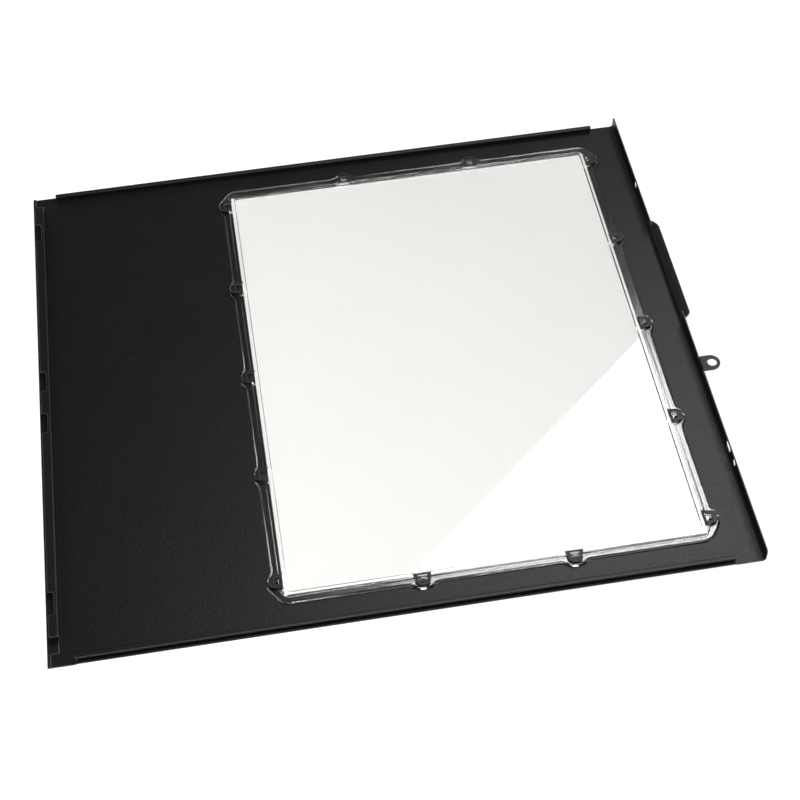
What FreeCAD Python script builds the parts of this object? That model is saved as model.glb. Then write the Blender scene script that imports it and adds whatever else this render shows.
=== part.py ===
import FreeCAD, Part
import math
import os

# Side panel of a desktop computer case: one folded steel sheet and one clear moulded window.
# It lies with its outer face down. X runs from the front edge to the rear wall, Y from the bottom
# edge to the top edge, Z from the outer face into the case. The origin is under the middle of the
# overall box. All sizes are in millimetres.

# Sheet
SHEET = 0.8                  # thickness of the steel
BEND_RADIUS = 0.4            # inside radius of the sharp bends
HEM_GAP = 0.3                # gap left between the two layers of a flat hem
RELIEF = 1.2                 # width of the cuts that free a bend at its ends
PANEL_LENGTH = 490.0         # front edge to the outer face of the rear wall
PANEL_HEIGHT = 444.0         # bottom edge to top edge

# Front hook rail: a hem whose second layer turns up into a wall and then forward into a lip
FRONT_HEM = 2.5              # width of the plain hem at the corners
FRONT_RAIL_DEPTH = 9.4       # front edge to the wall's inner face
FRONT_RAIL_HEIGHT = 8.0      # outer face to the lip's top
FRONT_LIP = 7.0              # wall's inner face to the lip's free edge
FRONT_FOOT_MARGIN = 9.5      # panel edge to the end of the rail's foot
FRONT_LIP_MARGIN = 19.0      # panel edge to the end of the wall and the lip
LIP_CORNER = 1.8             # radius at the lip's free corners
NOTCH_LENGTH = 18.5          # hook notches in the lip's free edge
NOTCH_DEPTH = 4.2
NOTCH_CORNER = 2.0
NOTCH_SPACING = 40.0         # between the middles of the two inner notches
NOTCH_MARGIN = 45.5          # panel edge to the middle of the nearest outer notch

# Sliding rails on the top and bottom edges, folded in the same way as the front rail
RAIL_DEPTH = 4.6             # panel edge to the wall's inner face
RAIL_HEIGHT = 6.2            # outer face to the lip's top
RAIL_LIP = 3.0               # wall's inner face to the lip's free edge
RAIL_FRONT_MARGIN = 19.0     # front edge to the rail's end
RAIL_REAR_MARGIN = 20.5      # rear wall to the rail's end

# Rear wall
REAR_HEIGHT = 11.5           # outer face to the wall's top
REAR_BEND = 2.0              # inside radius where the wall leaves the floor
REAR_CORNER = 3.0            # radius at the wall's two upper corners
SCREW_DIAMETER = 5.5
SCREW_MARGIN = 79.0          # panel edge to the middle of the nearest screw hole
SCREW_HEIGHT = 7.4           # outer face to the middle of the screw holes and the slot
SLOT_LENGTH = 10.0           # slot beside the lower screw hole
SLOT_WIDTH = 5.0
SLOT_FROM_SCREW = 14.5       # middle of the slot to the middle of the screw hole

# Finger grip: a stretch of the rear wall that is lanced free and curled outward over a short stem
GRIP_LENGTH = 107.0
GRIP_MIDDLE = 50.5           # its middle above the panel's middle
GRIP_STEM = 4.0              # outer face to the bend where it leaves the wall
GRIP_LEAN = 45.0             # degrees between its lower part and the floor
GRIP_LEAN_LENGTH = 3.7
GRIP_TIP_LEAN = 20.0         # degrees between its outer part and the floor
GRIP_TIP_LENGTH = 4.2
GRIP_BEND = 3.0              # inside radius between those two parts
GRIP_SLIT = 0.3              # lanced gap at each end
GRIP_UPPER_CORNER = 18.0
GRIP_LOWER_CORNER = 5.0

# Padlock tab: a flat ear turned outward from the top of the rear wall
LOCK_MIDDLE = -53.5          # its middle above the panel's middle
LOCK_WIDTH = 14.0
LOCK_REACH = 14.0            # rear wall to the tip
LOCK_HOLE_DIAMETER = 7.0
LOCK_HOLE_REACH = 8.0        # rear wall to the middle of the hole
LOCK_STEM = 1.2              # upright strip below the tab's bend

# Window opening in the sheet
OPENING_FRONT = 161.3        # front edge to the opening
OPENING_REAR = 33.4          # rear wall to the opening
OPENING_MARGIN = 28.3        # top or bottom edge to the opening
OPENING_CORNER = 1.5

# Retaining loops: tabs of the sheet that rise through the window's rim and fold outward over it
LOOP_ROOT_WIDTH = 12.0
LOOP_END_WIDTH = 9.0
LOOP_LEG = 2.5               # width of each of its two legs
LOOP_BAR = 3.8               # width of the bar across its end
LOOP_REACH = 9.6             # opening's edge to the end of the bar
LOOP_CORNER = 4.2            # radius at the end's corners
LOOP_SETBACK = 1.2           # depth of the notch in the opening's edge that it rises from
LOOP_ROOT_RADIUS = 0.0       # inside radius at its root, which is pressed sharp
LOOP_CLEARANCE = 0.1         # loop above the window's rim
SIDE_LOOPS = 5               # loops along the front edge of the opening, and along the rear edge
SIDE_LOOP_MARGIN = 10.7      # opening's corner to the middle of the nearest of those loops
END_LOOP_MARGIN = 94.65      # opening's corner to the middle of a loop on its top or bottom edge

# Clear window: a pane that drops into the opening and a stepped rim that lies on the sheet
PANE_THICKNESS = 2.4
PLUG_CLEARANCE = 2.5         # opening's edge to the part of the pane that drops into it
PLUG_CORNER = 2.5
RIM_OVERLAP = 7.5            # rim beyond the opening
LEDGE_WIDTH = 4.2            # lower outer part of the rim
LEDGE_HEIGHT = 1.9           # above the sheet
LAND_HEIGHT = 3.0            # higher inner part of the rim, above the sheet
RIM_CORNER = 12.0
RIM_DRAFT = 0.6              # run-in of the rim's sloping walls
BULGE_REACH = 10.8           # opening's edge to the front of the bulge under each loop
BULGE_FRONT = 10.0           # width of the bulge's straight front
BULGE_BASE = 21.0            # width of the bulge where it leaves the rim
BULGE_ROUND = 2.0
SLIT_CLEARANCE = 0.5         # around the loops' legs
PEG_CLEARANCE = 0.5          # between a peg and what stands around it
PEG_PROUD = 0.3              # peg above the loop
PEG_DRAFT = 0.25             # run-in of the peg's sloping walls
PAD_DIAMETER = 3.6           # round ejector pads beside the loops of the top and bottom edges
PAD_OFFSET = 12.0            # middle of the loop to the middle of a pad
PAD_INSET = 2.2              # inner edge of the rim's top to the middle of a pad
PAD_PROUD = 0.15             # pad above the rim

# Places that follow from the sizes above
FRONT_X = -(PANEL_LENGTH + LOCK_REACH) / 2
REAR_X = FRONT_X + PANEL_LENGTH
EDGE_Y = PANEL_HEIGHT / 2
OPENING_LENGTH = PANEL_LENGTH - OPENING_FRONT - OPENING_REAR
OPENING_HEIGHT = PANEL_HEIGHT - 2 * OPENING_MARGIN
WINDOW_X = FRONT_X + OPENING_FRONT + OPENING_LENGTH / 2
SCREW_Y = EDGE_Y - SCREW_MARGIN
LAP = REAR_BEND + 4 * SHEET                           # strip at each edge that a fold is made from
FLOOR_MIDDLE = SHEET / 2                              # middle of the floor's thickness
HEM_MIDDLE = FLOOR_MIDDLE + SHEET + HEM_GAP           # middle of a hem's second layer
LOOP_FACE = LOOP_SETBACK - BEND_RADIUS - SHEET        # opening's edge to the legs' face in the window
LOOP_MIDDLE = SHEET + LAND_HEIGHT + LOOP_CLEARANCE + SHEET / 2
EYE_END = LOOP_REACH - LOOP_BAR                       # opening's edge to the end of a loop's eye
GRIP_FOOT = SHEET + REAR_BEND                         # outer face to the top of the rear wall's bend
LOCK_FOOT = REAR_HEIGHT - SHEET - BEND_RADIUS - LOCK_STEM
LAND_OVERLAP = RIM_OVERLAP - LEDGE_WIDTH
THROUGH = 50.0               # length of a cutting tool that has to pass right through


def vec(x, y, z=0.0):
    """Point or direction."""
    return FreeCAD.Vector(x, y, z)


def rounded_wire(points, radii):
    """Closed wire of straight runs, with a tangent arc of the given radius at each corner."""
    corners = []
    for index, corner in enumerate(points):
        back = (points[index - 1] - corner).normalize()
        ahead = (points[(index + 1) % len(points)] - corner).normalize()
        half = back.getAngle(ahead) / 2
        cut = radii[index] / math.tan(half)
        middle = (back + ahead).normalize() * (radii[index] / math.sin(half) - radii[index])
        corners.append((corner + back * cut, corner + middle, corner + ahead * cut))
    edges = []
    for index, (start, middle, end) in enumerate(corners):
        if radii[index] > 0:
            edges.append(Part.Arc(start, middle, end).toShape())
        following = corners[(index + 1) % len(corners)][0]
        if end.distanceToPoint(following) > 1e-6:
            edges.append(Part.LineSegment(end, following).toShape())
    return Part.Wire(edges)


def rounded_prism(points, radii, height):
    """Upright solid over a rounded outline; the points' own height is its base."""
    return Part.Face(rounded_wire(points, radii)).extrude(vec(0, 0, height))


def rectangle(low_x, low_y, high_x, high_y, z):
    """Corners of a level rectangle, in order."""
    return [vec(low_x, low_y, z), vec(high_x, low_y, z), vec(high_x, high_y, z), vec(low_x, high_y, z)]


def trapezoid(near, near_half, far, far_half, z):
    """Corners of a level outline that is symmetrical about X, from its near edge to its far edge."""
    return [vec(near, -near_half, z), vec(far, -far_half, z), vec(far, far_half, z), vec(near, near_half, z)]


def sheet_section(path, inner_radii, place):
    """Face of a bent strip of sheet that follows a middle line.

    path holds the line's points as pairs, inner_radii the inside radius of the bend at each point
    between its two ends, and place turns a pair into a point in space.
    """
    headings = []
    for (a0, b0), (a1, b1) in zip(path, path[1:]):
        length = math.hypot(a1 - a0, b1 - b0)
        headings.append(((a1 - a0) / length, (b1 - b0) / length))
    left, right = [], []
    last = len(path) - 1
    for index, (a, b) in enumerate(path):
        before = headings[max(index - 1, 0)]
        after = headings[min(index, last - 1)]
        share = SHEET / 2 / (1 + before[0] * after[0] + before[1] * after[1])
        shift_a, shift_b = -(before[1] + after[1]) * share, (before[0] + after[0]) * share
        at_end = index in (0, last)
        inner = 0.0 if at_end else inner_radii[index - 1]
        outer = 0.0 if at_end else inner + SHEET
        turns_left = before[0] * after[1] > before[1] * after[0]
        left.append((place(a + shift_a, b + shift_b), inner if turns_left else outer))
        right.append((place(a - shift_a, b - shift_b), outer if turns_left else inner))
    outline = left + right[::-1]
    return Part.Face(rounded_wire([point for point, _ in outline], [radius for _, radius in outline]))


def rounded_edges(solid, radius, chosen):
    """Solid with a fillet on the edges whose middle point the test accepts."""
    return solid.makeFillet(radius, [edge for edge in solid.Edges if chosen(edge.CenterOfMass)])


def placed(solid, x, y, angle):
    """Copy of a solid made at the origin, turned about Z and moved to its place."""
    copy = solid.copy()
    copy.rotate(vec(0, 0), vec(0, 0, 1), angle)
    copy.translate(vec(x, y))
    return copy


def side_loop_places():
    """Place and outward direction of the loops along the opening's front and rear edges."""
    places = []
    last = OPENING_HEIGHT / 2 - SIDE_LOOP_MARGIN
    for side, angle in ((1, 0), (-1, 180)):
        for index in range(SIDE_LOOPS):
            y = last * (2 * index / (SIDE_LOOPS - 1) - 1)
            places.append((WINDOW_X + side * OPENING_LENGTH / 2, y, angle))
    return places


def end_loop_places():
    """Place and outward direction of the loops along the opening's top and bottom edges."""
    places = []
    along = OPENING_LENGTH / 2 - END_LOOP_MARGIN
    for side, angle in ((1, 90), (-1, 270)):
        for x in (WINDOW_X - along, WINDOW_X + along):
            places.append((x, side * OPENING_HEIGHT / 2, angle))
    return places


def at_loops(solid):
    """Copies of a solid made at the origin, one at every loop."""
    return [placed(solid, x, y, angle) for x, y, angle in side_loop_places() + end_loop_places()]


def floor():
    """Flat of the panel, without the strips that the edge folds are made from."""
    flat = Part.makeBox(PANEL_LENGTH - 2 * LAP, PANEL_HEIGHT, SHEET, vec(FRONT_X + LAP, -EDGE_Y))
    length = PANEL_LENGTH - RAIL_FRONT_MARGIN - RAIL_REAR_MARGIN
    for y in (-EDGE_Y, EDGE_Y - LAP):
        flat = flat.cut(Part.makeBox(length, LAP, SHEET, vec(FRONT_X + RAIL_FRONT_MARGIN, y)))
    return flat


def hem_path(width):
    """Middle line of a flat hem whose second layer is as wide as given."""
    return [(LAP, FLOOR_MIDDLE), (SHEET / 2, FLOOR_MIDDLE), (SHEET / 2, HEM_MIDDLE), (width, HEM_MIDDLE)]


def lip_path(depth, height, lip):
    """Middle line of a rail's wall and of the lip that turns back over the hem, from the hem upward."""
    wall = depth - SHEET / 2
    top = height - SHEET / 2
    return [(wall, HEM_MIDDLE), (wall, top), (depth - lip, top)]


def front_rail():
    """Hem along the front edge, with the foot, wall and notched lip of the hook rail."""
    def place(a, b):
        return vec(FRONT_X + a, 0, b)

    hem = sheet_section(hem_path(FRONT_HEM), [HEM_GAP / 2] * 2, place).extrude(vec(0, PANEL_HEIGHT, 0))
    hem.translate(vec(0, -EDGE_Y))

    foot_end = EDGE_Y - FRONT_FOOT_MARGIN
    foot_depth = FRONT_RAIL_DEPTH - SHEET - BEND_RADIUS - FRONT_HEM
    foot = Part.makeBox(foot_depth, 2 * foot_end, SHEET,
                        vec(FRONT_X + FRONT_HEM, -foot_end, HEM_MIDDLE - SHEET / 2))

    lip_end = EDGE_Y - FRONT_LIP_MARGIN
    path = [(FRONT_HEM, HEM_MIDDLE)] + lip_path(FRONT_RAIL_DEPTH, FRONT_RAIL_HEIGHT, FRONT_LIP)
    rail = sheet_section(path, [BEND_RADIUS] * 2, place).extrude(vec(0, 2 * lip_end, 0))
    rail.translate(vec(0, -lip_end))
    free_x = FRONT_X + FRONT_RAIL_DEPTH - FRONT_LIP
    rail = rounded_edges(rail, LIP_CORNER,
                         lambda point: abs(point.x - free_x) < 0.01 and abs(point.y) > lip_end - 0.01)
    outline = rectangle(-NOTCH_DEPTH, -NOTCH_LENGTH / 2, NOTCH_DEPTH, NOTCH_LENGTH / 2,
                        FRONT_RAIL_HEIGHT - 2 * SHEET)
    notch = rounded_prism(outline, [0, NOTCH_CORNER, NOTCH_CORNER, 0], THROUGH)
    for y in (NOTCH_SPACING / 2, EDGE_Y - NOTCH_MARGIN):
        rail = rail.cut([placed(notch, free_x, y, 0), placed(notch, free_x, -y, 0)])
    return [hem, foot, rail]


def sliding_rail(side):
    """Hem, wall and lip along the top edge (side 1) or the bottom edge (side -1)."""
    def place(a, b):
        return vec(FRONT_X + RAIL_FRONT_MARGIN, side * (EDGE_Y - a), b)

    path = hem_path(RAIL_DEPTH)[:-1] + lip_path(RAIL_DEPTH, RAIL_HEIGHT, RAIL_LIP)
    radii = [HEM_GAP / 2] * 2 + [BEND_RADIUS] * 2
    length = PANEL_LENGTH - RAIL_FRONT_MARGIN - RAIL_REAR_MARGIN
    return sheet_section(path, radii, place).extrude(vec(length, 0, 0))


def grip_outline(inner, outer, margin):
    """Upright solid over the grip's outline, from inner to outer along X, longer by margin at each end.

    The upper corner's arc may be wider than the grip, and then meets the grip's end at inner.
    """
    low_y = GRIP_MIDDLE - GRIP_LENGTH / 2 - margin
    reach = outer - inner
    missing = max(GRIP_UPPER_CORNER - reach, 0)
    overrun = GRIP_UPPER_CORNER - math.sqrt(GRIP_UPPER_CORNER ** 2 - missing ** 2)
    high_y = GRIP_MIDDLE + GRIP_LENGTH / 2 + margin + overrun
    base = outer - max(GRIP_UPPER_CORNER, reach + GRIP_LOWER_CORNER)
    corners = [0, GRIP_LOWER_CORNER, GRIP_UPPER_CORNER, 0]
    return rounded_prism(rectangle(base, low_y, outer, high_y, 0), corners, THROUGH)


def rear_wall():
    """Rear wall with its screw holes and slot, cut around the grip's outline and the padlock tab."""
    def place(a, b):
        return vec(REAR_X - a, -EDGE_Y, b)

    path = [(LAP, FLOOR_MIDDLE), (SHEET / 2, FLOOR_MIDDLE), (SHEET / 2, REAR_HEIGHT)]
    wall = sheet_section(path, [REAR_BEND], place).extrude(vec(0, PANEL_HEIGHT, 0))
    wall = rounded_edges(wall, REAR_CORNER,
                         lambda point: point.z > REAR_HEIGHT - 0.01 and abs(point.y) > EDGE_Y - 0.01)
    tools = []
    for y in (-SCREW_Y, SCREW_Y):
        place_of_hole = vec(REAR_X - 2 * SHEET, y, SCREW_HEIGHT)
        tools.append(Part.makeCylinder(SCREW_DIAMETER / 2, 4 * SHEET, place_of_hole, vec(1, 0, 0)))
    outline = rectangle(-SLOT_WIDTH / 2, -SLOT_LENGTH / 2, SLOT_WIDTH / 2, SLOT_LENGTH / 2, 0)
    slot = rounded_prism(outline, [SLOT_WIDTH / 2] * 4, 4 * SHEET)
    slot.rotate(vec(0, 0), vec(0, 1, 0), 90)
    slot.translate(vec(REAR_X - 2 * SHEET, SLOT_FROM_SCREW - SCREW_Y, SCREW_HEIGHT))
    tools.append(slot)

    # The grip is lanced from the flat wall, so the wall keeps what lies outside the grip's corners.
    blank = grip_outline(GRIP_FOOT, GRIP_STEM + GRIP_LEAN_LENGTH + GRIP_TIP_LENGTH, GRIP_SLIT)
    blank.rotate(vec(0, 0), vec(0, 1, 0), -90)
    blank.translate(vec(REAR_X + SHEET, 0))
    below_foot = Part.makeBox(THROUGH, PANEL_HEIGHT, THROUGH,
                              vec(REAR_X + SHEET - THROUGH, -EDGE_Y, GRIP_FOOT - THROUGH))
    tools.append(blank.cut(below_foot))

    lock_gap = LOCK_WIDTH + 2 * RELIEF
    tools.append(Part.makeBox(2 * SHEET, lock_gap, THROUGH,
                              vec(REAR_X - SHEET, LOCK_MIDDLE - lock_gap / 2, LOCK_FOOT)))
    return wall.cut(tools)


def finger_grip():
    """Curled stretch of the rear wall, with one large and one small rounded corner."""
    low_y = GRIP_MIDDLE - GRIP_LENGTH / 2

    def place(a, b):
        return vec(REAR_X + a, low_y, b)

    path = [(-SHEET / 2, GRIP_FOOT), (-SHEET / 2, GRIP_STEM)]
    for lean, length in ((GRIP_LEAN, GRIP_LEAN_LENGTH), (GRIP_TIP_LEAN, GRIP_TIP_LENGTH)):
        a, b = path[-1]
        slope = math.radians(lean)
        path.append((a + length * math.cos(slope), b + length * math.sin(slope)))
    curl = sheet_section(path, [BEND_RADIUS, GRIP_BEND], place).extrude(vec(0, GRIP_LENGTH, 0))
    return curl.common(grip_outline(REAR_X - SHEET, curl.BoundBox.XMax, 0))


def padlock_tab():
    """Flat ear with a round end and a hole for a padlock's shackle."""
    low_y = LOCK_MIDDLE - LOCK_WIDTH / 2

    def place(a, b):
        return vec(REAR_X + a, low_y, b)

    level = REAR_HEIGHT - SHEET / 2
    path = [(-SHEET / 2, LOCK_FOOT), (-SHEET / 2, level), (LOCK_REACH, level)]
    ear = sheet_section(path, [BEND_RADIUS], place).extrude(vec(0, LOCK_WIDTH, 0))
    outline = rectangle(REAR_X - LOCK_WIDTH, low_y, REAR_X + LOCK_REACH, low_y + LOCK_WIDTH, 0)
    ear = ear.common(rounded_prism(outline, [0, LOCK_WIDTH / 2, LOCK_WIDTH / 2, 0], THROUGH))
    hole = Part.makeCylinder(LOCK_HOLE_DIAMETER / 2, THROUGH, vec(REAR_X + LOCK_HOLE_REACH, LOCK_MIDDLE))
    return ear.cut(hole)


def loop_half_width(distance):
    """Half of a loop's width at a distance outward from the opening's edge."""
    share = (distance - LOOP_FACE) / (LOOP_REACH - LOOP_FACE)
    return (LOOP_ROOT_WIDTH + (LOOP_END_WIDTH - LOOP_ROOT_WIDTH) * share) / 2


def retaining_loop():
    """Loop whose opening's edge is the Y axis: up from its notch, then outward along +X."""
    def place(a, b):
        return vec(a, -LOOP_ROOT_WIDTH / 2, b)

    leg = LOOP_FACE + SHEET / 2
    root = LOOP_SETBACK + SHEET
    path = [(root, FLOOR_MIDDLE), (leg, FLOOR_MIDDLE), (leg, LOOP_MIDDLE), (LOOP_REACH, LOOP_MIDDLE)]
    strip = sheet_section(path, [LOOP_ROOT_RADIUS, BEND_RADIUS], place).extrude(vec(0, LOOP_ROOT_WIDTH, 0))
    outline = trapezoid(LOOP_FACE, loop_half_width(LOOP_FACE), LOOP_REACH, loop_half_width(LOOP_REACH), 0)
    strip = strip.common(rounded_prism(outline, [0, LOOP_CORNER, LOOP_CORNER, 0], THROUGH))
    eye = trapezoid(LOOP_FACE, loop_half_width(LOOP_FACE) - LOOP_LEG,
                    EYE_END, loop_half_width(EYE_END) - LOOP_LEG, SHEET + BEND_RADIUS)
    return strip.cut(rounded_prism(eye, [0] * 4, THROUGH))


def loop_notch():
    """Cutting tool for the notch in the opening's edge that a loop is turned up from."""
    half = LOOP_ROOT_WIDTH / 2 + RELIEF
    return rounded_prism(rectangle(-SHEET, -half, LOOP_SETBACK, half, 0), [0] * 4, SHEET)


def window_wire(grow, radius, z):
    """Rounded rectangle around the opening at height z, larger than it by grow on each side."""
    half_x, half_y = OPENING_LENGTH / 2 + grow, OPENING_HEIGHT / 2 + grow
    return rounded_wire(rectangle(WINDOW_X - half_x, -half_y, WINDOW_X + half_x, half_y, z), [radius] * 4)


def steel_panel():
    """The whole folded sheet."""
    folds = front_rail() + [sliding_rail(1), sliding_rail(-1), rear_wall(), finger_grip(), padlock_tab()]
    opening = Part.Face(window_wire(0, OPENING_CORNER, 0)).extrude(vec(0, 0, SHEET))
    sheet = floor().fuse(folds).cut([opening] + at_loops(loop_notch()))
    return sheet.fuse(at_loops(retaining_loop())).removeSplitter()


def drafted(lower, upper):
    """Solid with straight sloping walls between two like outlines."""
    return Part.makeLoft([lower, upper], True, True)


def bulge_wire(inset, z):
    """Outline of the rim's bulge under a loop at height z, pulled in by inset."""
    base, front = BULGE_BASE / 2 - inset, BULGE_FRONT / 2 - inset / 2
    rim, reach = RIM_OVERLAP - inset, BULGE_REACH - inset
    points = [vec(0, -base, z), vec(rim, -base, z), vec(reach, -front, z),
              vec(reach, front, z), vec(rim, base, z), vec(0, base, z)]
    return rounded_wire(points, [0, 0, BULGE_ROUND, BULGE_ROUND, 0, 0])


def window_rim():
    """Stepped rim: a low ledge with a bulge under each loop, and a higher land inside it."""
    ledge_top = SHEET + LEDGE_HEIGHT
    ledge = drafted(window_wire(RIM_OVERLAP, RIM_CORNER, SHEET),
                    window_wire(RIM_OVERLAP - RIM_DRAFT, RIM_CORNER - RIM_DRAFT, ledge_top))
    corner = RIM_CORNER - LEDGE_WIDTH
    land = drafted(window_wire(LAND_OVERLAP, corner, SHEET),
                   window_wire(LAND_OVERLAP - RIM_DRAFT, corner - RIM_DRAFT, SHEET + LAND_HEIGHT))
    bulge = drafted(bulge_wire(0, SHEET), bulge_wire(RIM_DRAFT, ledge_top))
    return ledge.fuse([land] + at_loops(bulge))


def rim_slit():
    """Cutting tool for the slit that a loop's legs rise through."""
    half = LOOP_ROOT_WIDTH / 2 + SLIT_CLEARANCE
    outline = rectangle(LOOP_FACE - SLIT_CLEARANCE, -half, LOOP_SETBACK + SLIT_CLEARANCE, half, 0)
    return rounded_prism(outline, [0] * 4, THROUGH)


def eye_peg():
    """Tapered peg of the rim that stands in a loop's eye."""
    near = LOOP_SETBACK + SLIT_CLEARANCE + PEG_CLEARANCE
    far = EYE_END - PEG_CLEARANCE
    half = loop_half_width(EYE_END) - LOOP_LEG - PEG_CLEARANCE
    levels = ((0, SHEET + LEDGE_HEIGHT / 2), (PEG_DRAFT, LOOP_MIDDLE + SHEET / 2 + PEG_PROUD))
    return drafted(*[rounded_wire(rectangle(near + run, run - half, far - run, half - run, z), [0] * 4)
                     for run, z in levels])


def ejector_pads():
    """Round pads on the rim, either side of each loop on the top and bottom edges."""
    base = SHEET + LEDGE_HEIGHT / 2
    height = SHEET + LAND_HEIGHT + PAD_PROUD - base
    pads = []
    for x, y, angle in end_loop_places():
        for along in (-PAD_OFFSET, PAD_OFFSET):
            pad = Part.makeCylinder(PAD_DIAMETER / 2, height, vec(PAD_INSET - PLUG_CLEARANCE, along, base))
            pads.append(placed(pad, x, y, angle))
    return pads


def window_pane():
    """Clear window: pane, plug and rim, with slits, pegs and pads at the loops."""
    plug = Part.Face(window_wire(-PLUG_CLEARANCE, PLUG_CORNER, 0)).extrude(vec(0, 0, SHEET))
    recess = drafted(window_wire(-PLUG_CLEARANCE - RIM_DRAFT, PLUG_CORNER - RIM_DRAFT, PANE_THICKNESS),
                     window_wire(-PLUG_CLEARANCE, PLUG_CORNER, SHEET + LAND_HEIGHT))
    body = plug.fuse(window_rim()).cut(recess).fuse(at_loops(eye_peg()) + ejector_pads())
    return body.cut(at_loops(rim_slit())).removeSplitter()


def main():
    """Build each node and write it to its own file."""
    os.makedirs("parts", exist_ok=True)
    steel_panel().exportStep("parts/steel_panel.step")
    window_pane().exportStep("parts/window_pane.step")


if __name__ == "__main__":
    main()
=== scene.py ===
import logging
import math
from dataclasses import dataclass
from enum import Enum
from typing import Any, Mapping, Optional

import bmesh
import bpy
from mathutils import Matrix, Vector


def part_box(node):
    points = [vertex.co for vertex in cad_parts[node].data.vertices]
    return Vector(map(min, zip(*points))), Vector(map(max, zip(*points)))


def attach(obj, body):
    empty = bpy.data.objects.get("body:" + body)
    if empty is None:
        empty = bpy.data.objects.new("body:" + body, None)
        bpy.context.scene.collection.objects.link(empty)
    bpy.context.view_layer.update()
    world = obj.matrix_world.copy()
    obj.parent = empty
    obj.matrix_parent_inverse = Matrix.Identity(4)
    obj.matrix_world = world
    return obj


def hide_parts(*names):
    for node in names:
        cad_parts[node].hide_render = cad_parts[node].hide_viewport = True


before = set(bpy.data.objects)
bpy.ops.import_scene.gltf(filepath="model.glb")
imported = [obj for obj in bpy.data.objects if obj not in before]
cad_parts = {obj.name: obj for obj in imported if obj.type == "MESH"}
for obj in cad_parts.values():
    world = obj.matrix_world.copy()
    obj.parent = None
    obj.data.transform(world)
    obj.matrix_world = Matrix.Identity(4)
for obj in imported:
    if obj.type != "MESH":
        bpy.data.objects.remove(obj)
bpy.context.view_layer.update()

# Looks of a desktop computer case's side panel: one folded steel sheet with a black powder coat and
# one clear moulded acrylic window. It lies on its outer face on white studio paper. Lengths with the
# ending _mm are millimetres on the real panel, and places are metres in the part's own frame.

MM = 0.001
LOG = logging.getLogger("side_panel")

Colour = tuple[float, float, float, float]


class PanelNode(Enum):
    """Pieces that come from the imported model."""

    STEEL = "steel_panel"
    WINDOW = "window_pane"


class SeenBy(Enum):
    """Rays to which the studio paper shows its full white."""

    CAMERA = "Is Camera Ray"
    GLOSS = "Is Glossy Ray"
    CLEAR = "Is Transmission Ray"


def linear(hex_colour: str) -> Colour:
    """Turn an sRGB hex colour into linear light.

    Args:
        hex_colour: colour such as "#1A1819".

    Returns:
        Red, green, blue and an alpha of one.
    """
    shares = [int(hex_colour[start:start + 2], 16) / 255 for start in (1, 3, 5)]
    red, green, blue = (s / 12.92 if s <= 0.04045 else ((s + 0.055) / 1.055) ** 2.4 for s in shares)
    return (red, green, blue, 1.0)


def per_metre(size_mm: float) -> float:
    """Texture scale at which one feature of the pattern is as wide as given in millimetres."""
    return 1 / (size_mm * MM)


def add_node(tree: bpy.types.NodeTree, kind: str,
             links: Optional[Mapping[Any, bpy.types.NodeSocket]] = None,
             values: Optional[Mapping[Any, Any]] = None, **settings: Any) -> bpy.types.Node:
    """Add one node with its settings, input values and links.

    Args:
        tree: node tree that gets the node.
        kind: type name of the node.
        links: output socket that feeds each named or numbered input.
        values: constant for each named or numbered input.
        settings: properties of the node itself.

    Returns:
        The new node.
    """
    node = tree.nodes.new(kind)
    for name, setting in settings.items():
        setattr(node, name, setting)
    for name, value in (values or {}).items():
        node.inputs[name].default_value = value
    for name, socket in (links or {}).items():
        tree.links.new(socket, node.inputs[name])
    return node


def new_material(name: str) -> bpy.types.Material:
    """Material with an empty node tree."""
    material = bpy.data.materials.new(name)
    material.use_nodes = True
    material.node_tree.nodes.clear()
    return material


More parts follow.
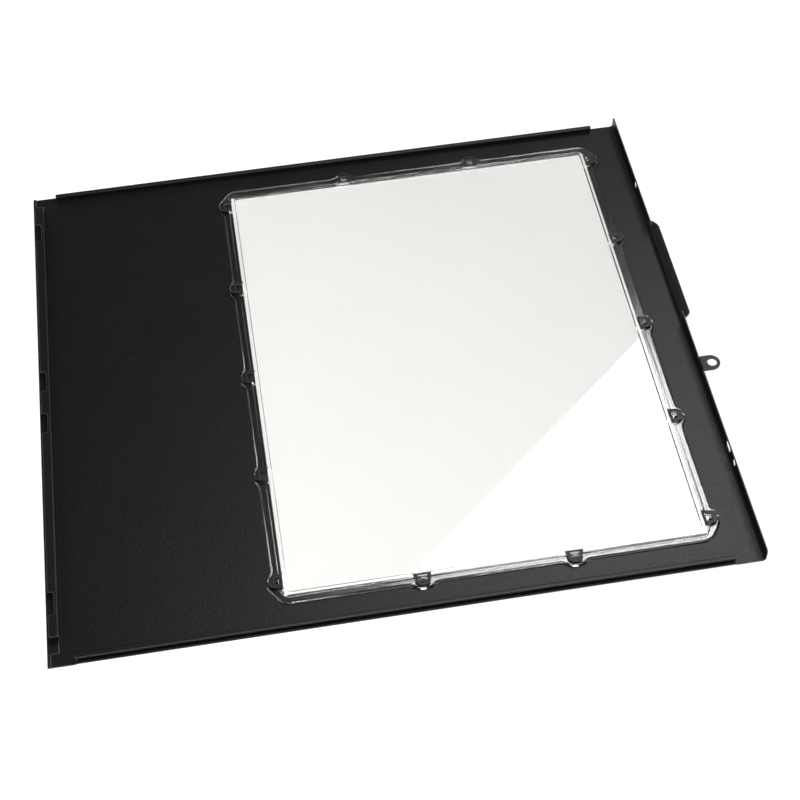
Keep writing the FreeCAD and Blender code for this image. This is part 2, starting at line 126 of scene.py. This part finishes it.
@dataclass(frozen=True)
class TexturedPowderCoat:
    """Baked polyester powder coat on steel, with the fine sand texture of case paint.

    The powder melts into small humps, so the eye gets a satin black that breaks a reflection into grains
    and turns grey where a lamp mirrors in it. A paler band along its edges and bends is a painted
    highlight, partly the coat thinning at cut edges, and the coat is thinner in some patches than in
    others.
    """

    name: str = "black_powder_coat_fine_texture"
    colour: str = "#090909"
    thin_colour: str = "#0F0E0E"
    # Colour of the painted highlight along edges and bends, partly the coat thinning at cut edges.
    edge_highlight_colour: str = "#4E4A48"
    ior: float = 1.5
    specular_level: float = 0.13
    roughness_low: float = 0.32
    roughness_high: float = 0.46
    # Real humps are about 0.3 mm wide, half a pixel of the render, so they are drawn wider to show.
    grain_mm: float = 1.3
    grain_height_mm: float = 0.2
    grain_detail: float = 2.0
    grain_falloff: float = 0.6
    # Nearly all of the grain's noise lies in this span.
    grain_low: float = 0.3
    grain_high: float = 0.7
    cloud_mm: float = 60.0
    cloud_detail: float = 3.0
    edge_round_mm: float = 1.0
    highlight_band_mm: float = 1.2
    edge_samples: int = 4
    # Cosines of the turn towards the next face where the painted edge highlight starts and where it is
    # full.
    highlight_start: float = 0.985
    highlight_full: float = 0.84

    def material(self) -> bpy.types.Material:
        """Build the coat's node tree.

        Returns:
            The new material.
        """
        material = new_material(self.name)
        tree = material.node_tree
        place = add_node(tree, "ShaderNodeTexCoord").outputs["Object"]
        grain = add_node(tree, "ShaderNodeTexNoise", {"Vector": place},
                         {"Scale": per_metre(self.grain_mm), "Detail": self.grain_detail,
                          "Roughness": self.grain_falloff})
        cloud = add_node(tree, "ShaderNodeTexNoise", {"Vector": place},
                         {"Scale": per_metre(self.cloud_mm), "Detail": self.cloud_detail})
        rounded = add_node(tree, "ShaderNodeBevel", values={"Radius": self.edge_round_mm * MM},
                           samples=self.edge_samples)
        humps = add_node(tree, "ShaderNodeBump",
                         {"Height": grain.outputs["Fac"], "Normal": rounded.outputs["Normal"]},
                         {"Strength": 1.0, "Distance": self.grain_height_mm * MM})
        gloss = add_node(tree, "ShaderNodeMapRange", {"Value": grain.outputs["Fac"]},
                         {"From Min": self.grain_low, "From Max": self.grain_high,
                          "To Min": self.roughness_low, "To Max": self.roughness_high})
        # Mask of the paler band along edges and bends: a painted highlight, partly the coat thinning at
        # cut edges.
        band = add_node(tree, "ShaderNodeBevel", values={"Radius": self.highlight_band_mm * MM},
                        samples=self.edge_samples)
        facing = add_node(tree, "ShaderNodeNewGeometry").outputs["True Normal"]
        flatness = add_node(tree, "ShaderNodeVectorMath", {0: band.outputs["Normal"], 1: facing},
                            operation="DOT_PRODUCT")
        edge = add_node(tree, "ShaderNodeMapRange", {"Value": flatness.outputs["Value"]},
                        {"From Min": self.highlight_start, "From Max": self.highlight_full,
                         "To Min": 0.0, "To Max": 1.0})
        tone = add_node(tree, "ShaderNodeMix", {"Factor": cloud.outputs["Fac"]},
                        {"A": linear(self.colour), "B": linear(self.thin_colour)}, data_type="RGBA")
        # The coat's own tone with the painted edge highlight mixed in.
        tone_with_highlight = add_node(tree, "ShaderNodeMix",
                         {"Factor": edge.outputs["Result"], "A": tone.outputs["Result"]},
                         {"B": linear(self.edge_highlight_colour)}, data_type="RGBA")
        coat = add_node(tree, "ShaderNodeBsdfPrincipled",
                        {"Base Color": tone_with_highlight.outputs["Result"], "Roughness": gloss.outputs["Result"],
                         "Normal": humps.outputs["Normal"]},
                        {"IOR": self.ior, "Specular IOR Level": self.specular_level})
        add_node(tree, "ShaderNodeOutputMaterial", {"Surface": coat.outputs["BSDF"]})
        return material


@dataclass(frozen=True)
class MouldedAcrylic:
    """Clear acrylic, injection moulded in a polished mould.

    The eye gets glass without glass's green: mirror-like faces that are very slightly wavy, and a rim
    whose steps bend the black steel below them into dark and bright lines. The rim's level faces are
    satin, as they come out of a mould that is polished less there.
    """

    name: str = "clear_acrylic_moulded"
    colour: str = "#F3F3F1"
    ior: float = 1.49
    roughness: float = 0.015
    rim_roughness: float = 0.16
    # The rim's level faces lie above this height and point up by more than this cosine.
    pane_top_mm: float = 2.5
    level_cosine: float = 0.98
    wave_mm: float = 35.0
    wave_height_mm: float = 0.004

    def material(self) -> bpy.types.Material:
        """Build the acrylic's node tree.

        Returns:
            The new material.
        """
        material = new_material(self.name)
        tree = material.node_tree
        place = add_node(tree, "ShaderNodeTexCoord").outputs["Object"]
        wave = add_node(tree, "ShaderNodeTexNoise", {"Vector": place},
                        {"Scale": per_metre(self.wave_mm), "Detail": 0.0})
        ripple = add_node(tree, "ShaderNodeBump", {"Height": wave.outputs["Fac"]},
                          {"Strength": 1.0, "Distance": self.wave_height_mm * MM})
        height = add_node(tree, "ShaderNodeSeparateXYZ", {"Vector": place}).outputs["Z"]
        raised = add_node(tree, "ShaderNodeMath", {0: height}, {1: self.pane_top_mm * MM},
                          operation="GREATER_THAN")
        facing = add_node(tree, "ShaderNodeNewGeometry").outputs["True Normal"]
        upward = add_node(tree, "ShaderNodeSeparateXYZ", {"Vector": facing}).outputs["Z"]
        level = add_node(tree, "ShaderNodeMath", {0: upward}, {1: self.level_cosine},
                         operation="GREATER_THAN")
        satin = add_node(tree, "ShaderNodeMath", {0: raised.outputs[0], 1: level.outputs[0]},
                         operation="MULTIPLY")
        gloss = add_node(tree, "ShaderNodeMapRange", {"Value": satin.outputs[0]},
                         {"To Min": self.roughness, "To Max": self.rim_roughness})
        clear = add_node(tree, "ShaderNodeBsdfPrincipled",
                         {"Normal": ripple.outputs["Normal"], "Roughness": gloss.outputs["Result"]},
                         {"Base Color": linear(self.colour), "IOR": self.ior, "Transmission Weight": 1.0})
        add_node(tree, "ShaderNodeOutputMaterial", {"Surface": clear.outputs["BSDF"]})
        return material


@dataclass(frozen=True)
class StudioPaper:
    """Matt white background paper, which shows as white and still takes the panel's shadow.

    Its glow is painted light, weaker towards the back of the floor, as the photograph's pane shows, and
    up the wall.
    """

    name: str = "white_studio_paper"
    colour: str = "#969696"
    glow_colour: str = "#FFFFFF"
    fibre_mm: float = 3.0
    fibre_height_mm: float = 0.05
    fibre_strength: float = 0.1
    glow_front: float = 0.89
    glow_back: float = 0.57
    glow_heading_deg: float = 42.0
    glow_reach: float = 0.2
    wall_share: float = 0.6
    wall_height: float = 0.5

    def material(self) -> bpy.types.Material:
        """Build the paper's node tree.

        Returns:
            The new material.
        """
        material = new_material(self.name)
        tree = material.node_tree
        place = add_node(tree, "ShaderNodeTexCoord").outputs["Object"]
        fibre = add_node(tree, "ShaderNodeTexNoise", {"Vector": place},
                         {"Scale": per_metre(self.fibre_mm)})
        bump = add_node(tree, "ShaderNodeBump", {"Height": fibre.outputs["Fac"]},
                        {"Strength": self.fibre_strength, "Distance": self.fibre_height_mm * MM})
        matt = add_node(tree, "ShaderNodeBsdfDiffuse", {"Normal": bump.outputs["Normal"]},
                        {"Color": linear(self.colour)})
        rays = add_node(tree, "ShaderNodeLightPath")
        seen = rays.outputs[SeenBy.CAMERA.value]
        for kind in (SeenBy.GLOSS, SeenBy.CLEAR):
            seen = add_node(tree, "ShaderNodeMath", {0: seen, 1: rays.outputs[kind.value]},
                            operation="MAXIMUM").outputs[0]
        # The glow's fall-off across the floor and up the wall is painted light.
        heading = math.radians(self.glow_heading_deg)
        along = add_node(tree, "ShaderNodeVectorMath", {0: place},
                         {1: (math.cos(heading), math.sin(heading), 0.0)}, operation="DOT_PRODUCT")
        glow = add_node(tree, "ShaderNodeMapRange", {"Value": along.outputs["Value"]},
                        {"From Min": -self.glow_reach, "From Max": self.glow_reach,
                         "To Min": self.glow_front, "To Max": self.glow_back})
        height = add_node(tree, "ShaderNodeSeparateXYZ", {"Vector": place}).outputs["Z"]
        fade = add_node(tree, "ShaderNodeMapRange", {"Value": height},
                        {"From Min": 0.0, "From Max": self.wall_height,
                         "To Min": 1.0, "To Max": self.wall_share})
        level = add_node(tree, "ShaderNodeMath", {0: glow.outputs["Result"], 1: fade.outputs["Result"]},
                         operation="MULTIPLY")
        strength = add_node(tree, "ShaderNodeMath", {0: seen, 1: level.outputs[0]}, operation="MULTIPLY")
        white = add_node(tree, "ShaderNodeEmission", {"Strength": strength.outputs[0]},
                         {"Color": linear(self.glow_colour)})
        both = add_node(tree, "ShaderNodeAddShader", {0: matt.outputs[0], 1: white.outputs[0]})
        add_node(tree, "ShaderNodeOutputMaterial", {"Surface": both.outputs[0]})
        return material


@dataclass
class SteelPanel:
    """The folded sheet: flat, rails, rear wall, grip, padlock tab and loops, all one painted piece."""

    finish: TexturedPowderCoat = TexturedPowderCoat()

    def dress(self) -> bpy.types.Object:
        """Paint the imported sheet."""
        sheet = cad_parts[PanelNode.STEEL.value]
        sheet.material_slots[0].material = self.finish.material()
        return sheet


@dataclass
class Window:
    """The clear moulded window with its stepped rim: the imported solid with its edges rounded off.

    The underside of the rim stands a hair above the sheet, as any hard moulding does. The air in that gap
    keeps light inside the acrylic, which is why the rim's slopes are bright over black steel.
    """

    sheet_mm: float = 0.8
    rest_gap_mm: float = 0.06
    ledge_top_mm: float = 2.7
    land_top_mm: float = 3.8
    ledge_round_mm: float = 1.3
    land_round_mm: float = 0.8
    pane_side_round_mm: float = 0.35
    peg_round_mm: float = 0.3
    plain_round_mm: float = 0.1
    round_steps: int = 5
    # An edge that turns by less is a facet of a curved face.
    sharp_deg: float = 30.0
    # A level face points up by more than the first share, and an upright one by less than the second.
    level_face: float = 0.999
    upright_face: float = 0.02
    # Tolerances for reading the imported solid's triangles.
    flat_deg: float = 0.5
    weld_mm: float = 0.001
    touch_mm: float = 0.01
    height_margin_mm: float = 0.1
    finish: MouldedAcrylic = MouldedAcrylic()

    @property
    def widest_mm(self) -> float:
        """Width of the widest rounding, which an edge of full weight gets."""
        return max(self.ledge_round_mm, self.land_round_mm, self.peg_round_mm, self.plain_round_mm)

    def faces_pane(self, edge: bmesh.types.BMEdge) -> bool:
        """Tell on which side of the rim an edge lies.

        Args:
            edge: edge of the rim's top.

        Returns:
            Whether the slope below the edge faces the middle of the pane.
        """
        low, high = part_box(PanelNode.WINDOW.value)
        to_middle = (Vector(low) + Vector(high)) / 2 - edge.verts[0].co
        slope = min(edge.link_faces, key=lambda face: abs(face.normal.z))
        return slope.normal.xy.dot(to_middle.xy) > 0

    def edge_round_mm(self, edge: bmesh.types.BMEdge) -> float:
        """Choose the rounding of one edge.

        Args:
            edge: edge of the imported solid.

        Returns:
            Width of the rounding, or nothing for an inside corner and for a curved face's own facets.
        """
        if not edge.is_convex or edge.calc_face_angle(0.0) < math.radians(self.sharp_deg):
            return 0.0
        top_mm = max(vert.co.z for vert in edge.verts) / MM
        has_upright_wall = any(abs(face.normal.z) < self.upright_face for face in edge.link_faces)
        if has_upright_wall or top_mm < self.ledge_top_mm - self.height_margin_mm:
            return self.plain_round_mm
        if top_mm < self.ledge_top_mm + self.height_margin_mm:
            return self.ledge_round_mm
        if top_mm > self.land_top_mm + self.height_margin_mm:
            return self.peg_round_mm
        return self.pane_side_round_mm if self.faces_pane(edge) else self.land_round_mm

    def weighted_mesh(self) -> bpy.types.Mesh:
        """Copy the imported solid, lift its rim off the sheet and mark how far each edge is rounded.

        Returns:
            The mesh before it is rounded.
        """
        shape = bmesh.new()
        shape.from_mesh(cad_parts[PanelNode.WINDOW.value].data)
        bmesh.ops.remove_doubles(shape, verts=shape.verts, dist=self.weld_mm * MM)
        bmesh.ops.dissolve_limit(shape, angle_limit=math.radians(self.flat_deg), verts=shape.verts,
                                 edges=shape.edges)
        # A level face with many sides would fold over itself beside the pads when its edges are rounded.
        level_faces = [face for face in shape.faces if face.normal.z > self.level_face]
        bmesh.ops.triangulate(shape, faces=level_faces)
        for vert in shape.verts:
            if abs(vert.co.z - self.sheet_mm * MM) < self.touch_mm * MM:
                vert.co.z += self.rest_gap_mm * MM
        weight = shape.edges.layers.float.new("bevel_weight_edge")
        for edge in shape.edges:
            edge[weight] = self.edge_round_mm(edge) / self.widest_mm
            edge.smooth = edge[weight] > 0 or edge.calc_face_angle(0.0) < math.radians(self.sharp_deg)
        rough = bpy.data.meshes.new("window_unrounded")
        shape.to_mesh(rough)
        shape.free()
        return rough

    def build(self) -> bpy.types.Object:
        """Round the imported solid's edges.

        Returns:
            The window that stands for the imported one.
        """
        rough = self.weighted_mesh()
        window = bpy.data.objects.new("moulded_window", rough)
        bpy.context.scene.collection.objects.link(window)
        rounding = window.modifiers.new("rounded_edges", "BEVEL")
        rounding.limit_method = "WEIGHT"
        rounding.width = self.widest_mm * MM
        rounding.segments = self.round_steps
        rounding.use_clamp_overlap = False
        rounded = window.evaluated_get(bpy.context.evaluated_depsgraph_get())
        window.data = bpy.data.meshes.new_from_object(rounded)
        for polygon in window.data.polygons:
            polygon.use_smooth = abs(polygon.normal.z) < self.level_face
        window.modifiers.clear()
        bpy.data.meshes.remove(rough)
        return window

    def dress(self) -> bpy.types.Object:
        """Build the window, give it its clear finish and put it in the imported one's place.

        Returns:
            The finished window.
        """
        window = self.build()
        window.data.name = window.name
        window.data.materials.clear()
        window.data.materials.append(self.finish.material())
        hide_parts(PanelNode.WINDOW.value)
        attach(window, "root")
        return window


@dataclass
class PaperCove:
    """Round sweep of studio paper: a floor that curves up into a low wall all round."""

    radius: float = 2.6
    bend: float = 0.6
    wall: float = 2.05
    drop_mm: float = 0.3
    weld_mm: float = 1.0
    bend_steps: int = 10
    turns: int = 64
    finish: StudioPaper = StudioPaper()

    def build(self) -> bpy.types.Object:
        """Spin the cove's section about the middle of the floor.

        Returns:
            The cove.
        """
        floor_z = -self.drop_mm * MM
        section = [Vector((0, 0, floor_z))]
        for step in range(self.bend_steps + 1):
            angle = math.pi / 2 * step / self.bend_steps
            section.append(Vector((self.radius - self.bend + self.bend * math.sin(angle), 0,
                                   floor_z + self.bend * (1 - math.cos(angle)))))
        section.append(Vector((self.radius, 0, floor_z + self.wall)))
        mesh = bmesh.new()
        points = [mesh.verts.new(point) for point in section]
        runs = [mesh.edges.new(pair) for pair in zip(points, points[1:])]
        bmesh.ops.spin(mesh, geom=points + runs, cent=(0, 0, 0), axis=(0, 0, 1), angle=2 * math.pi,
                       steps=self.turns, use_merge=True)
        bmesh.ops.remove_doubles(mesh, verts=mesh.verts, dist=self.weld_mm * MM)
        bmesh.ops.recalc_face_normals(mesh, faces=mesh.faces)
        data = bpy.data.meshes.new("paper_cove")
        mesh.to_mesh(data)
        mesh.free()
        data.shade_smooth()
        data.materials.append(self.finish.material())
        cove = bpy.data.objects.new("paper_cove", data)
        bpy.context.scene.collection.objects.link(cove)
        return cove


@dataclass(frozen=True)
class Lamp:
    """One soft lamp: a glowing rectangle, which faces down before it is turned."""

    name: str
    place: tuple[float, float, float]
    length: float
    width: float
    power: float
    turn_deg: tuple[float, float, float]

    def build(self) -> bpy.types.Object:
        """Hang the lamp.

        Returns:
            The lamp's object.
        """
        data = bpy.data.lights.new(self.name, "AREA")
        data.shape = "RECTANGLE"
        data.size = self.length
        data.size_y = self.width
        data.energy = self.power
        lamp = bpy.data.objects.new(self.name, data)
        lamp.location = self.place
        lamp.rotation_euler = [math.radians(turn) for turn in self.turn_deg]
        bpy.context.scene.collection.objects.link(lamp)
        return lamp


@dataclass
class Studio:
    """Plain soft light in a dim room.

    The soft box mirrors in the window. Two weaker lamps, one behind the camera and one at the left, draw
    the edges that face them.
    """

    room_colour: str = "#FFFFFF"
    room_level: float = 0.06
    soft_box: Lamp = Lamp("soft_box", place=(0.479, 0.389, 1.0), length=1.2, width=0.6, power=24.0,
                          turn_deg=(0.0, 0.0, 41.0))
    front_fill: Lamp = Lamp("front_fill", place=(0.1, -1.3, 1.1), length=0.7, width=0.4, power=20.0,
                            turn_deg=(50.0, 0.0, 0.0))
    side_fill: Lamp = Lamp("side_fill", place=(-1.5, -0.2, 0.8), length=1.2, width=1.0, power=15.0,
                           turn_deg=(0.0, -62.0, 0.0))

    def build(self) -> list[bpy.types.Object]:
        """Light the room and hang the lamps.

        Returns:
            The lamps' objects.
        """
        world = bpy.data.worlds.new("studio_room")
        world.use_nodes = True
        world.node_tree.nodes.clear()
        room = add_node(world.node_tree, "ShaderNodeBackground",
                        values={"Color": linear(self.room_colour), "Strength": self.room_level})
        add_node(world.node_tree, "ShaderNodeOutputWorld", {"Surface": room.outputs[0]})
        bpy.context.scene.world = world
        return [lamp.build() for lamp in (self.soft_box, self.front_fill, self.side_fill)]


@dataclass
class PhotoCamera:
    """Camera at the photograph's viewing angle, worked out from the panel's corners and loops."""

    place: tuple[float, float, float] = (-0.08225, -0.80016, 0.96438)
    turn_deg: tuple[float, float, float] = (38.4848, 1.5079, -9.0502)
    sensor_mm: float = 36.0
    lens_mm: float = 74.709

    def build(self) -> bpy.types.Object:
        """Set the scene's camera.

        Returns:
            The camera's object.
        """
        data = bpy.data.cameras.new("photo_camera")
        data.sensor_width = self.sensor_mm
        data.lens = self.lens_mm
        camera = bpy.data.objects.new("photo_camera", data)
        camera.location = self.place
        camera.rotation_euler = [math.radians(turn) for turn in self.turn_deg]
        bpy.context.scene.collection.objects.link(camera)
        bpy.context.scene.camera = camera
        return camera


def main() -> None:
    """Dress the panel, set up the studio and report each piece."""
    logging.basicConfig(level=logging.INFO, format="%(message)s")
    bpy.context.scene.view_settings.view_transform = "Standard"
    pieces = [SteelPanel().dress(), Window().dress(), PaperCove().build(), PhotoCamera().build()]
    for piece in pieces + Studio().build():
        LOG.info("%s is in place", piece.name)


if __name__ == "__main__":
    main()
